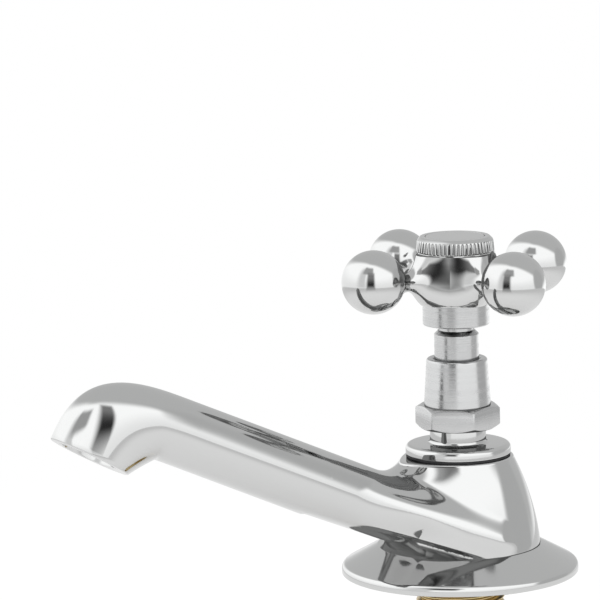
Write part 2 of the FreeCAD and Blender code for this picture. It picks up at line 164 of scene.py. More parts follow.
# spins an outline about the tap's axis, as on a lathe; an outline with a hole comes back to its start
def turnOnLathe(name, outline, steps=144):
    closed = outline[0] == outline[-1]
    if closed:
        outline = outline[:-1]
    count = len(outline)
    edges = [(i, i + 1) for i in range(count - 1)]
    if closed:
        edges.append((count - 1, 0))
    piece = newPiece(name, [(r, 0, z) for r, z in outline], edges)
    startEdit(piece)
    bpy.ops.mesh.select_all(action="SELECT")
    bpy.ops.mesh.spin(steps=steps, angle=2 * math.pi, center=(0, 0, 0), axis=(0, 0, 1))
    bpy.ops.mesh.select_all(action="SELECT")
    bpy.ops.mesh.remove_doubles(threshold=0.0005 * mm)
    bpy.ops.mesh.normals_make_consistent(inside=False)
    endEdit()
    smoothByAngle(piece)
    return piece


def meshPoints(piece):
    points = np.empty(len(piece.data.vertices) * 3)
    piece.data.vertices.foreach_get("co", points)
    return points.reshape(-1, 3) / mm


def putPoints(piece, points):
    piece.data.vertices.foreach_set("co", (points * mm).ravel())
    piece.data.update()


# moves every vertex onto the surface where gap() is nought, so that polished curves are true
def trueToSurface(piece, gap, rounds=6, most=1.5):
    points = meshPoints(piece)
    step = 0.01
    for _ in range(rounds):
        off = gap(points)
        slope = np.empty_like(points)
        for axis in range(3):
            nudge = np.zeros(3)
            nudge[axis] = step
            slope[:, axis] = (gap(points + nudge) - gap(points - nudge)) / (2 * step)
        steep = np.maximum((slope ** 2).sum(1), 0.05)
        move = -slope * (off / steep)[:, None]
        length = np.maximum(np.linalg.norm(move, axis=1), 1e-9)
        move *= np.minimum(1, most / length)[:, None]
        points = points + move
    putPoints(piece, points)


def slopeOf(gap, points, step=0.02):
    slope = np.empty_like(points)
    for axis in range(3):
        nudge = np.zeros(3)
        nudge[axis] = step
        slope[:, axis] = gap(points + nudge) - gap(points - nudge)
    return slope / np.maximum(np.linalg.norm(slope, axis=1), 1e-9)[:, None]


# shades a mesh that lies on gap() = 0 with the surface's own slope, so that mirrored lines run smoothly;
# at a crease every face keeps its own side's slope
def trueShading(piece, gap, covers):
    mesh = piece.data
    points = meshPoints(piece)
    corners = np.empty(len(mesh.loops), int)
    mesh.loops.foreach_get("vertex_index", corners)
    shaded = np.empty(len(mesh.loops) * 3)
    mesh.corner_normals.foreach_get("vector", shaded)
    shaded = shaded.reshape(-1, 3)
    sizes = np.empty(len(mesh.polygons), int)
    mesh.polygons.foreach_get("loop_total", sizes)
    centres = np.empty(len(sizes) * 3)
    mesh.polygons.foreach_get("center", centres)
    facing = np.empty(len(sizes) * 3)
    mesh.polygons.foreach_get("normal", facing)
    centres = np.repeat(centres.reshape(-1, 3) / mm, sizes, axis=0)
    facing = np.repeat(facing.reshape(-1, 3), sizes, axis=0)
    here = points[corners]
    atCorner = slopeOf(gap, here)
    inside = slopeOf(gap, here + 0.25 * (centres - here))
    creased = (atCorner * inside).sum(1) < math.cos(math.radians(7))
    wanted = np.where(creased[:, None], inside, atCorner)
    good = (abs(gap(here)) < 0.03) & covers(here) & ((wanted * facing).sum(1) > 0.6)
    shaded[good] = wanted[good]
    mesh.normals_split_custom_set(shaded.tolist())


# joins two surfaces, given as distances, with a hollow fillet of this radius
def filletUnion(a, b, radius):
    u = np.maximum(radius - a, 0)
    v = np.maximum(radius - b, 0)
    return np.maximum(radius, np.minimum(a, b)) - np.hypot(u, v)


bodyCasting = {
    "footZ": 6.8,
    "topZ": 28.0,
    "topRound": 0.6,
    "chamber": (10.4, 9.0),  # radius and floor of the bore
    "footR": 19.1,
    "topR": 13.1,
    "bow": 0.95,            # how far the tower's side bows out
    "spoutZ": 8.05,         # where the spout's axis meets the tower's axis
    "spoutRise": 24.5,      # degrees
    "spoutR": 8.12,
    "spoutSlimming": 0.0044,
    "filletTop": 9.5,       # hollow between tower and spout, above
    "filletSide": 19.0,     # and at its sides
    "undercut": (3.3, 0.07),  # below this depth under the spout's axis the flare stops
    "flareEdge": 1.0,       # height in which it fades out there
    "thinFrom": 3.5,        # above the edge, where the flare starts to thin
    "thinBy": (1.0, 0.5),   # share that it loses at the tower's sides and in front
    "frontFrom": (1.5, 12.0),  # along the spout, from the sides to the front
    "recess": (2.2, 4.5),   # the tower draws in below the edge: depth and height
    "crotch": 1.2,          # round under the flare
    "joint": 46.0,          # where the tower's mesh hands over to the spout's
    "blankR": (20.4, 12.6),  # foot and top of the rough cone that the casting starts from
    "armBlankR": 7.9,
    "blankGrain": 1.1,      # size of the faces in the first pass
    "grain": 0.55,          # and near the finished surface
    "fineReach": (1.6, 1.0),  # from the flare's edge, where faces are divided once more
}
spoutNose = {
    "start": 83.4,
    "innerCorner": 89.0,
    "cornerShare": 0.35,
    "fullness": 3.2,
    "overhang": 0.1,
    "mouth": (104.68, -12.0),
    "mouthTilt": 5.6,
    "mouthLong": 10.2,
    "mouthWide": 7.85,
    "sections": 30,
    "lip": 0.5,
    "boreR": 6.2,
    "boreOffset": 0.5,
    "boreDepth": 6.2,
}
rise = math.radians(bodyCasting["spoutRise"])
along = np.array([0.0, -math.cos(rise), math.sin(rise)])
upward = np.array([0.0, math.sin(rise), math.cos(rise)])
spoutFoot = np.array([0.0, 0.0, bodyCasting["spoutZ"]])


def bowCircle(values):
    top = np.array([values["topR"], values["topZ"] - values["topRound"]])
    foot = np.array([values["footR"], values["footZ"]])
    chord = foot - top
    length = np.linalg.norm(chord)
    out = np.array([-chord[1], chord[0]]) / length
    radius = (length / 2) ** 2 / (2 * values["bow"]) + values["bow"] / 2
    centre = (top + foot) / 2 + out * (values["bow"] - radius)
    return centre, radius


# distances to the bare tower and to the bare spout, and the place along and above the spout's axis
def towerAndSpout(points):
    values = bodyCasting
    centre, radius = bowCircle(values)
    tower = np.hypot(np.hypot(points[:, 0], points[:, 1]) - centre[0], points[:, 2] - centre[1]) - radius
    local = points - spoutFoot
    s = local @ along
    h = local @ upward
    spout = np.hypot(points[:, 0], h) - (values["spoutR"] - values["spoutSlimming"] * s)
    # the spout ends softly inside the tower
    return tower, spout + 0.2 * np.maximum(3 - s, 0) ** 2, s, h


def nearFlareEdge(points, reach):
    depth, tilt = bodyCasting["undercut"]
    tower, spout, s, h = towerAndSpout(points)
    return (abs(h + depth + tilt * s) < reach) & (np.minimum(tower, spout) > 0.03)


def castingGap(points):
    values = bodyCasting
    tower, spout, s, h = towerAndSpout(points)
    # the fillet is wide at the sides and tighter on top
    share = np.clip((h - 1.0) / 8.0, 0, 1)
    share = share * share * (3 - 2 * share)
    fillet = values["filletSide"] + (values["filletTop"] - values["filletSide"]) * share
    flare = filletUnion(tower, spout, fillet)
    sharp = filletUnion(tower, spout, values["crotch"])
    # the flare ends in a crisp lower edge
    depth, tilt = values["undercut"]
    keep = np.clip((h + depth + tilt * s) / values["flareEdge"] + 0.5, 0, 1)
    keep = keep * keep * (3 - 2 * keep)
    # and thins towards that edge
    down = np.clip((values["thinFrom"] - h - tilt * s) / (depth + values["thinFrom"]), 0, 1)
    start, end = values["frontFrom"]
    front = np.clip((s - start) / (end - start), 0, 1)
    front = front * front * (3 - 2 * front)
    atSides, inFront = values["thinBy"]
    thinBy = atSides + (inFront - atSides) * front
    keep = keep * (1 - thinBy * down * down * (3 - 2 * down))
    deepest, tall = values["recess"]
    below = np.clip((-h - depth - tilt * s) / tall, 0, 1)
    below = below * below * (3 - 2 * below)
    return sharp + (flare - sharp) * keep + deepest * below * front


def makeTower():
    values = bodyCasting
    low, high = values["footZ"] - 5, values["topZ"] + 4
    footR, topR = values["blankR"]
    bpy.ops.mesh.primitive_cone_add(
        vertices=96, radius1=footR * mm, radius2=topR * mm, depth=(high - low) * mm,
        location=(0, 0, (low + high) / 2 * mm))
    tower = rename(bpy.context.object, "bodyTower")
    settlePlace(tower)
    middle = spoutFoot + along * (values["joint"] + 5) / 2
    bpy.ops.mesh.primitive_cylinder_add(
        vertices=64, radius=values["armBlankR"] * mm, depth=(values["joint"] + 5) * mm,
        location=Vector(middle) * mm, rotation=(math.radians(90 - values["spoutRise"]), 0, 0))
    arm = rename(bpy.context.object, "armCore")
    settlePlace(arm)
    useModifier(tower, "BOOLEAN", operation="UNION", object=arm, solver="EXACT")
    bpy.data.objects.remove(arm)
    useModifier(tower, "REMESH", mode="VOXEL", voxel_size=values["blankGrain"] * mm)
    trueToSurface(tower, castingGap, rounds=8)
    useModifier(tower, "REMESH", mode="VOXEL", voxel_size=values["grain"] * mm)
    trueToSurface(tower, castingGap, rounds=6)
    useModifier(tower, "SMOOTH", factor=0.5, iterations=3)
    trueToSurface(tower, castingGap, rounds=4)
    # finer faces where the flare's edge is crisp
    for reach in values["fineReach"]:
        startEdit(tower, "FACE")
        bpy.ops.mesh.select_all(action="DESELECT")
        shell = bmesh.from_edit_mesh(tower.data)
        close = nearFlareEdge(np.array([face.calc_center_median() for face in shell.faces]) / mm, reach)
        for face, isClose in zip(shell.faces, close):
            face.select = bool(isClose)
        bmesh.update_edit_mesh(tower.data)
        bpy.ops.mesh.subdivide(number_cuts=1)
        endEdit()
        trueToSurface(tower, castingGap, rounds=5)
    # cut it off at the seat, under the top round and where the spout takes over
    cutOff(tower, (0, 0, values["footZ"]), (0, 0, -1))
    cutOff(tower, spoutFoot + along * values["joint"], along)
    cutOff(tower, (0, 0, values["topZ"] - values["topRound"]), (0, 0, 1), nearTower)
    return tower


# cuts away what lies past a plane, in the part of the mesh that the test picks
def cutOff(piece, place, facing, test=lambda p: True):
    startEdit(piece)
    bpy.ops.mesh.select_all(action="DESELECT")
    shell = bmesh.from_edit_mesh(piece.data)
    for vertex in shell.verts:
        vertex.select = test(vertex.co / mm)
    shell.select_flush(True)
    bmesh.update_edit_mesh(piece.data)
    bpy.ops.mesh.bisect(plane_co=Vector(place) * mm, plane_no=Vector(facing), clear_outer=True,
                        threshold=1e-8)
    endEdit()


def nearTower(p):
    return p.y > -20


# selects the open edges whose ends pass the test, which is given points in mm
def selectRim(piece, test):
    startEdit(piece, "EDGE")
    bpy.ops.mesh.select_all(action="DESELECT")
    shell = bmesh.from_edit_mesh(piece.data)
    for edge in shell.edges:
        if edge.is_boundary and all(test(v.co / mm) for v in edge.verts):
            edge.select = True
    bmesh.update_edit_mesh(piece.data)


def finishTowerEnds(tower):
    values = bodyCasting
    topZ, rounding = values["topZ"], values["topRound"]
    selectRim(tower, lambda p: abs(p.z - (topZ - rounding)) < 0.02)
    steps = 5
    reach = values["topR"]
    for k in range(1, steps + 1):
        turn = math.pi / 2 * k / steps
        newR = values["topR"] - rounding * (1 - math.cos(turn))
        lift = rounding * (math.sin(turn) - math.sin(turn - math.pi / 2 / steps))
        bpy.ops.mesh.extrude_edges_move(TRANSFORM_OT_translate={"value": (0, 0, lift * mm)})
        bpy.ops.transform.resize(value=(newR / reach, newR / reach, 1), center_override=(0, 0, 0))
        reach = newR
    # bored out inside, for the valve
    boreR, floorZ = values["chamber"]
    bpy.ops.mesh.extrude_edges_move()
    bpy.ops.transform.resize(value=(boreR / reach, boreR / reach, 1), center_override=(0, 0, topZ * mm))
    bpy.ops.mesh.extrude_edges_move(TRANSFORM_OT_translate={"value": (0, 0, (floorZ - topZ) * mm)})
    bpy.ops.mesh.edge_face_add()
    endEdit()
    selectRim(tower, lambda p: abs(p.z - values["footZ"]) < 0.02)
    bpy.ops.mesh.edge_face_add()
    endEdit()


# the nose's section at this share of the way to the mouth: its inner and outer point as (s, h)
def noseOutline(share):
    values = spoutNose
    tilt = math.radians(values["mouthTilt"])
    lipReach = Vector((math.cos(tilt), math.sin(tilt))) * values["mouthLong"]
    innerLip = Vector(values["mouth"]) - lipReach
    outerLip = Vector(values["mouth"]) + lipReach
    top = bodyCasting["spoutR"] - bodyCasting["spoutSlimming"] * values["start"]
    power = values["fullness"]
    reach = outerLip.x + values["overhang"] - values["start"]
    lipX = (outerLip.x - values["start"]) / reach
    lipY = (1 - lipX ** power) ** (1 / power)
    fall = (top - outerLip.y) / (1 - lipY)
    turn = share * math.atan2(lipX, lipY)
    spread = (math.sin(turn) ** power + math.cos(turn) ** power) ** (-1 / power)
    outer = Vector((values["start"] + reach * spread * math.sin(turn),
                    top - fall * (1 - spread * math.cos(turn))))
    corner = values["innerCorner"]
    if share <= values["cornerShare"]:
        inner = Vector((values["start"] + (corner - values["start"]) * share / values["cornerShare"], -top))
    else:
        left = (share - values["cornerShare"]) / (1 - values["cornerShare"])
        inner = Vector((corner, -top)).lerp(innerLip, left)
    width = top + (values["mouthWide"] - top) * share
    return inner, outer, width


# every ring is (s and h of its centre, half length, half width, lean of the long way from straight up)
def spoutRings():
    rings = []
    for k in range(9):
        s = bodyCasting["joint"] + (spoutNose["start"] - bodyCasting["joint"]) * k / 9
        radius = bodyCasting["spoutR"] - bodyCasting["spoutSlimming"] * s
        rings.append((s, 0.0, radius, radius, 0.0))
    for k in range(spoutNose["sections"] + 1):
        inner, outer, width = noseOutline(k / spoutNose["sections"])
        centre = (inner + outer) / 2
        half = (outer - inner) / 2
        rings.append((centre.x, centre.y, half.length, width, math.atan2(half.x, half.y)))
    return rings


def ringPlace(ring):
    return Vector(spoutFoot + along * ring[0] + upward * ring[1]) * mm


# takes the selected ring of vertices from one ring's size, lean and place to the next one's
def placeRing(old, new):
    bpy.ops.transform.translate(value=-ringPlace(old))
    turnAboutX(rise - old[4])
    bpy.ops.transform.resize(value=(new[3] / old[3], 1, new[2] / old[2]), center_override=(0, 0, 0))
    turnAboutX(new[4] - rise)
    bpy.ops.transform.translate(value=ringPlace(new))


# with no window the rotate operator may turn the other way, so one vertex is turned to see
def findTurnSign():
    tester = newPiece("turnTester", [(0, 0, 1)])
    startEdit(tester)
    bpy.ops.mesh.select_all(action="SELECT")
    bpy.ops.transform.rotate(value=0.1, orient_axis="X", orient_type="GLOBAL", center_override=(0, 0, 0))
    endEdit()
    sign = -1 if tester.data.vertices[0].co.y > 0 else 1
    bpy.data.objects.remove(tester)
    return sign


turnSign = findTurnSign()


# turns the selection about the X axis through the origin; a positive angle takes +Z towards -Y
def turnAboutX(angle):
    bpy.ops.transform.rotate(value=turnSign * angle, orient_axis="X", orient_type="GLOBAL",
                             center_override=(0, 0, 0))


def onJoint(p):
    return abs((np.array(p) - spoutFoot) @ along - bodyCasting["joint"]) < 0.02


# spaces the vertices evenly round the cut end of the tower's mesh
def evenJoint(piece):
    values = bodyCasting
    shell = bmesh.new()
    shell.from_mesh(piece.data)
    rim = [v.index for v in shell.verts if v.is_boundary and onJoint(v.co / mm)]
    shell.free()
    points = meshPoints(piece)
    local = points[rim] - spoutFoot
    turns = np.arctan2(local @ upward, local[:, 0])
    order = np.argsort(turns)
    even = np.linspace(-math.pi, math.pi, len(rim), endpoint=False)
    even += np.mean(turns[order] - even)
    radius = values["spoutR"] - values["spoutSlimming"] * values["joint"]
    middle = spoutFoot + along * values["joint"]
    for k, turn in zip(order, even):
        points[rim[k]] = middle + radius * (math.sin(turn) * upward + math.cos(turn) * np.array([1.0, 0, 0]))
    putPoints(piece, points)


# carries the cut end on, ring by ring, along the arm, round the nose and up the outlet
def makeSpout(body):
    values = spoutNose
    rings = spoutRings()
    selectRim(body, onJoint)
    for old, new in zip(rings, rings[1:]):
        bpy.ops.mesh.extrude_edges_move()
        placeRing(old, new)
    # the mouth: a small round on the lip, a flat rim, the bore and its domed end
    tilt = math.radians(values["mouthTilt"])
    s, h, longHalf, wideHalf, lean = rings[-1]
    lip = values["lip"]
    into = Vector((-math.sin(tilt), math.cos(tilt)))  # into the mouth, square to its rim
    old = rings[-1]
    for k in range(1, 4):
        turn = math.pi / 2 * k / 3
        shrink = lip * (1 - math.cos(turn))
        drop = -lip * math.sin(turn) * 0.6
        new = (s + into.x * drop, h + into.y * drop, longHalf - shrink, wideHalf - shrink, lean)
        bpy.ops.mesh.extrude_edges_move()
        placeRing(old, new)
        old = new
    bore = values["boreR"]
    shift = values["boreOffset"]
    out = Vector((math.cos(tilt), math.sin(tilt))) * shift
    bottom = -lip * 0.6
    for radius, depth in [(bore + 0.35, bottom), (bore + 0.08, bottom + 0.1), (bore, bottom + 0.35),
                          (bore, values["boreDepth"])]:
        new = (s + out.x + into.x * depth, h + out.y + into.y * depth, radius, radius, lean)
        bpy.ops.mesh.extrude_edges_move()
        placeRing(old, new)
        old = new
    for k in range(1, 7):
        turn = math.pi / 2 * k / 6.3
        depth = values["boreDepth"] + bore * math.sin(turn)
        radius = bore * math.cos(turn)
        new = (s + out.x + into.x * depth, h + out.y + into.y * depth, radius, radius, lean)
        bpy.ops.mesh.extrude_edges_move()
        placeRing(old, new)
        old = new
    bpy.ops.mesh.edge_face_add()
    endEdit()


def makeBody():
    print("body: tower")
    tower = makeTower()
    evenJoint(tower)
    finishTowerEnds(tower)
    print("body: spout", len(tower.data.vertices))
    body = rename(tower, "tapBody")
    makeSpout(body)
    cleanShell(body, 0.0005)
    smoothByAngle(body, 38)
    values = bodyCasting

    def sidesOnly(points):
        reach = (points - spoutFoot) @ along
        below = points[:, 2] < values["topZ"] - values["topRound"] + 0.01
        outside = np.hypot(points[:, 0], points[:, 1]) > values["chamber"][0] + 0.3
        return outside & below & (points[:, 2] > values["footZ"] - 0.01) & (reach < spoutNose["start"] - 2)
    trueShading(body, castingGap, sidesOnly)
    return body


deckFlange = {
    "outline": [(14.7, 1.2, 0), (14.7, 6.8, 0.2), (19.4, 6.8, 0.35), (28.0, 2.05, 1.5), (28.0, 0.0, 0.35),
                (24.6, 0.0, 0.15), (24.6, 1.2, 0), (14.7, 1.2, 0)],
    "steps": 256,
}


def makeFlange():
    print("deck flange")
    flange = turnOnLathe("deckFlange", roundedOutline(deckFlange["outline"], 7, 0.08), deckFlange["steps"])
    smoothByAngle(flange, 28)
    return flange


tailThread = {
    "crestR": 10.4775,
    "rootR": 9.33,
    "pitch": 1.814,
    "foot": -44.3,
    "top": 6.0,
    "crest": 0.16,       # flat at the top of the thread, as a share of the pitch
    "coreR": 9.36,
    "boreR": 6.2,
    "low": -46.0,
    "high": 6.2,
    "steps": 72,
}


# a thread's ridge: one tooth's section, screwed round the axis, over a plain core
def makeTail():
    print("inlet tail")
    values = tailThread
    pitch = values["pitch"]
    root, crest = values["rootR"] - 0.25, values["crestR"]
    flat = values["crest"] * pitch / 2
    z = values["foot"] + pitch
    halfTooth = [(root, pitch * 0.47), (values["rootR"], pitch * 0.46), (crest - 0.08, flat + 0.05),
                 (crest, flat - 0.04)]
    section = [(r, 0, z - up) for r, up in halfTooth] + [(r, 0, z + up) for r, up in reversed(halfTooth)]
    count = len(section)
    thread = newPiece("tailThread", section, [(i, (i + 1) % count) for i in range(count)])
    turns = int((values["top"] - values["foot"]) / pitch) - 2
    useModifier(thread, "SCREW", axis="Z", angle=2 * math.pi * turns, screw_offset=pitch * turns * mm,
                steps=values["steps"] * turns, render_steps=values["steps"] * turns, use_merge_vertices=False,
                use_smooth_shade=False)
    closeHoles(thread)
    core = turnOnLathe("tailCore", roundedOutline([
        (values["boreR"], values["low"], 0.0), (values["coreR"] - 0.05, values["low"], 0.6),
        (values["coreR"] - 0.05, values["low"] + 1.4, 0.1), (values["coreR"], values["low"] + 1.7, 0.1),
        (values["coreR"], values["high"], 0.3), (values["boreR"], values["high"], 0.4),
        (values["boreR"], values["low"], 0.0)], 3, 0), 96)
    tail = joinPieces([core, thread], "inletTail")
    cleanShell(tail, 0.0005)
    smoothByAngle(tail, 35)
    return tail


def closeHoles(piece):
    startEdit(piece, "EDGE")
    bpy.ops.mesh.select_all(action="SELECT")
    bpy.ops.mesh.fill_holes(sides=0)
    endEdit()


backNut = {
    "flats": 30.0,
    "low": -26.4,
    "high": -18.4,
    "threadR": 10.0,
    "cornerRound": 0.5,
    "chamferR": 15.1,
    "chamferDrop": 1.3,
    "edgeRound": 0.12,
}


# a hexagon with softened corners, chamfered as a lathe leaves it
def makeHexagon(name, flats, low, high, turn, cornerRound, chamferR, chamferDrop, holeR=0.0):
    corner = flats / math.sqrt(3)
    bpy.ops.mesh.primitive_cylinder_add(
        vertices=6, radius=corner * mm, depth=(high - low) * mm, location=(0, 0, (low + high) / 2 * mm),
        rotation=(0, 0, math.radians(turn)))
    hexagon = rename(bpy.context.object, name)
    settlePlace(hexagon)
    startEdit(hexagon, "EDGE")
    bpy.ops.mesh.select_all(action="DESELECT")
    shell = bmesh.from_edit_mesh(hexagon.data)
    for edge in shell.edges:
        edge.select = abs(edge.verts[0].co.z - edge.verts[1].co.z) > 1 * mm
    bmesh.update_edit_mesh(hexagon.data)
    bpy.ops.mesh.bevel(offset=cornerRound * mm, segments=3, affect="EDGES")
    endEdit()
    wide = corner + 1
    drop = chamferDrop * (wide - chamferR) / (corner - chamferR)
    cone = turnOnLathe("chamferCone", [
        (0, low), (chamferR, low), (wide, low + drop), (wide, high - drop), (chamferR, high), (0, high)], 120)
    useModifier(hexagon, "BOOLEAN", operation="INTERSECT", object=cone, solver="EXACT")
    bpy.data.objects.remove(cone)
    if holeR > 0:
        bpy.ops.mesh.primitive_cylinder_add(
            vertices=96, radius=holeR * mm, depth=(high - low + 4) * mm,
            location=(0, 0, (low + high) / 2 * mm))
        hole = bpy.context.object
        settlePlace(hole)
        useModifier(hexagon, "BOOLEAN", operation="DIFFERENCE", object=hole, solver="EXACT")
        bpy.data.objects.remove(hole)
    return hexagon


def makeBackNut():
    print("back nut")
    values = backNut
    nut = makeHexagon("backNut", values["flats"], values["low"], values["high"], 0, values["cornerRound"],
                      values["chamferR"], values["chamferDrop"], values["threadR"])
    useModifier(nut, "BEVEL", width=values["edgeRound"] * mm, segments=2, limit_method="ANGLE",
                angle_limit=math.radians(28), harden_normals=False)
    smoothByAngle(nut, 30)
    return nut


fixingWasher = {
    "outline": [(10.78, -18.4, 0), (17.5, -18.4, 0.3), (17.5, -16.0, 0.45), (10.78, -16.0, 0.2),
                (10.78, -18.4, 0)],
    "steps": 128,
}
deckSeal = {
    "outline": [(10.78, 0.0, 0), (24.4, 0.0, 0.15), (24.4, 1.15, 0.2), (10.78, 1.15, 0.2), (10.78, 0.0, 0)],
    "steps": 128,
}


bonnetTurning = {
    "outline": [(4.05, 20.0, 0), (9.4, 20.0, 0.4), (9.4, 28.5, 0.1), (12.4, 28.5, 0.3), (12.4, 31.0, 1.8),
                (6.6, 31.0, 0.9), (6.6, 34.65, 0.1), (6.4, 34.65, 0), (6.4, 42.6, 0.3), (5.2, 42.6, 0.1),
                (5.2, 37.2, 0.1), (4.05, 37.2, 0.1), (4.05, 20.0, 0)],
    "steps": 192,
}
bonnetRing = {
    "outline": [(9.5, 27.98, 0), (12.3, 27.98, 0.1), (12.3, 28.52, 0.1), (9.5, 28.52, 0), (9.5, 27.98, 0)],
    "steps": 128,
}
glandNut = {
    "flats": 17.5,
    "low": 34.7,
    "high": 40.2,
    "turn": 17.5,
    "cornerRound": 0.22,
    "chamferR": 8.6,
    "chamferDrop": 0.9,
    "boreR": 6.45,
    "edgeRound": 0.09,
    "sleeve": [(6.45, 35.0, 0), (7.6, 35.0, 0.1), (7.85, 40.2, 0.1), (7.15, 51.3, 1.3), (5.75, 51.3, 0.25),
               (5.32, 50.9, 0.1), (5.32, 43.9, 0), (6.45, 43.9, 0), (6.45, 35.0, 0)],
    "steps": 192,
}
spindleTurning = {
    "outline": [(0, 16.0, 0), (4.0, 16.0, 0.2), (4.0, 45.2, 0.1), (5.25, 45.2, 0.2), (5.25, 57.0, 0.12),
                (4.4, 57.9, 0.12), (4.0, 57.9, 0.1), (4.0, 61.2, 0.2), (0, 61.2, 0)],
    "steps": 160,
    "square": (5.6, 61.0, 71.6),
}


def makeGlandNut():
    print("gland nut")
    values = glandNut
    hexagon = makeHexagon("glandNut", values["flats"], values["low"], values["high"], values["turn"],
                          values["cornerRound"], values["chamferR"], values["chamferDrop"], values["boreR"])
    useModifier(hexagon, "BEVEL", width=values["edgeRound"] * mm, segments=2, limit_method="ANGLE",
                angle_limit=math.radians(24), harden_normals=False)
    smoothByAngle(hexagon, 30)
    sleeve = turnOnLathe("glandSleeve", roundedOutline(values["sleeve"], 7, 0.06), values["steps"])
    return hexagon, sleeve


def makeSpindle():
    print("spindle")
    values = spindleTurning
    shaft = turnOnLathe("spindleShaft", roundedOutline(values["outline"], 4, 0.05), values["steps"])
    flats, low, high = values["square"]
    bpy.ops.mesh.primitive_cube_add(size=1, location=(0, 0, (low + high) / 2 * mm),
                                    scale=(flats * mm, flats * mm, (high - low) * mm))
    square = rename(bpy.context.object, "spindleSquare")
    settlePlace(square)
    useModifier(square, "BEVEL", width=0.7 * mm, segments=3)
    return joinPieces([shaft, square], "spindleShaft")


crossHandle = {
    "outline": [(7.85, 64.4), (8.35, 65.3), (8.85, 66.7), (9.05, 68.2), (9.03, 69.8), (8.97, 71.4),
                (8.94, 73.0), (8.95, 74.4), (8.98, 75.6), (9.0, 76.4)],
    "rootTall": 0.62,           # an arm's thickness over its height at its root
    "rootEnds": (9.5, 14.0),    # distances from the axis between which it turns round
    "armR": 2.15,
    "armZ": 70.5,
    "ballR": 7.45,
    "ballReach": 23.2,
    "ballZ": 71.6,
    "hubFillet": 5.0,
    "ballFillet": 2.2,
    "blankGrain": 0.8,
    "grain": 0.5,
    "skirt": [(5.8, 62.0, 0), (5.8, 59.5, 0.1), (7.65, 59.3, 0.12), (7.85, 59.55, 0.1), (7.85, 64.7, 0),
              (5.8, 64.7, 0), (5.8, 62.0, 0)],
    "rim": [(7.05, 73.0, 0), (8.3, 73.2, 0), (8.5, 76.1, 0.1), (9.0, 76.3, 0.05), (9.0, 76.7, 0.15),
            (7.05, 76.7, 0.1), (7.05, 73.0, 0)],
    "steps": 192,
}


# an easy curve through the points
def smoothCurve(points, each=12):
    points = [np.array(p, float) for p in points]
    ends = [2 * points[0] - points[1]] + points + [2 * points[-1] - points[-2]]
    curve = []
    for a, b, c, d in zip(ends, ends[1:], ends[2:], ends[3:]):
        for k in range(each):
            t = k / each
            curve.append(0.5 * (2 * b + (c - a) * t + (2 * a - 5 * b + 4 * c - d) * t ** 2
                                + (3 * b - a - 3 * c + d) * t ** 3))
    curve.append(points[-1])
    return np.array(curve)


hubCurve = smoothCurve(crossHandle["outline"])


def handleGap(points):
    values = crossHandle
    x, y, z = points.T
    r = np.hypot(x, y)
    hub = r - np.interp(z, hubCurve[:, 1], hubCurve[:, 0])
    u, v = np.maximum(abs(x), abs(y)), np.minimum(abs(x), abs(y))
    # the arm is taller at its root
    near, far = values["rootEnds"]
    slim = np.clip((u - near) / (far - near), 0, 1)
    slim = values["rootTall"] + (1 - values["rootTall"]) * slim * slim * (3 - 2 * slim)
    arm = np.hypot(v, (z - values["armZ"]) * slim) - values["armR"]
    arm = np.maximum(arm, u - values["ballReach"])
    ball = np.sqrt((u - values["ballReach"]) ** 2 + v ** 2 + (z - values["ballZ"]) ** 2) - values["ballR"]
    return filletUnion(filletUnion(hub, arm, values["hubFillet"]), ball, values["ballFillet"])


def makeCrossHandle():
    print("cross handle")
    values = crossHandle
    core = turnOnLathe("crossHandle", [(0, hubCurve[0][1] - 1.5), (7.85, hubCurve[0][1] - 1.5)]
                       + [tuple(p) for p in hubCurve[::3]] + [(0, hubCurve[-1][1])], 48)
    parts = [core]
    for k in range(4):
        turn = math.pi / 2 * k
        reach = Vector((math.cos(turn), math.sin(turn), 0))
        bpy.ops.mesh.primitive_cylinder_add(
            vertices=24, radius=(values["armR"] + 0.3) * mm, depth=values["ballReach"] * mm,
            location=(reach * values["ballReach"] / 2 + Vector((0, 0, values["armZ"]))) * mm,
            rotation=(0, math.pi / 2, turn))
        parts.append(bpy.context.object)
        bpy.ops.mesh.primitive_uv_sphere_add(
            segments=48, ring_count=24, radius=values["ballR"] * mm,
            location=(reach * values["ballReach"] + Vector((0, 0, values["ballZ"]))) * mm)
        parts.append(bpy.context.object)
    for part in parts:
        settlePlace(part)
    handle = joinPieces(parts, "crossHandle")
    useModifier(handle, "REMESH", mode="VOXEL", voxel_size=values["blankGrain"] * mm)
    trueToSurface(handle, handleGap, rounds=6)
    useModifier(handle, "REMESH", mode="VOXEL", voxel_size=values["grain"] * mm)
    trueToSurface(handle, handleGap, rounds=5)
    useModifier(handle, "SMOOTH", factor=0.5, iterations=3)
    trueToSurface(handle, handleGap, rounds=4)
    for height, facing in ((hubCurve[0][1] + 0.05, -1), (hubCurve[-1][1] - 0.05, 1)):
        cutOff(handle, (0, 0, height), (0, 0, facing), lambda p: p.xy.length < 12)
        selectRim(handle, lambda p: abs(p.z - height) < 0.02 and p.xy.length < 12)
        bpy.ops.mesh.edge_face_add()
        endEdit()
    cleanShell(handle, 0.0005)
    smoothByAngle(handle, 35)
    trueShading(handle, handleGap, lambda points: abs(points[:, 2] - 70) < 9)
    skirt = turnOnLathe("handleSkirt", roundedOutline(values["skirt"], 3, 0.05), values["steps"])
    rim = turnOnLathe("handleRim", roundedOutline(values["rim"], 4, 0.05), values["steps"])
    handle = joinPieces([handle, rim], "crossHandle")
    return handle, skirt


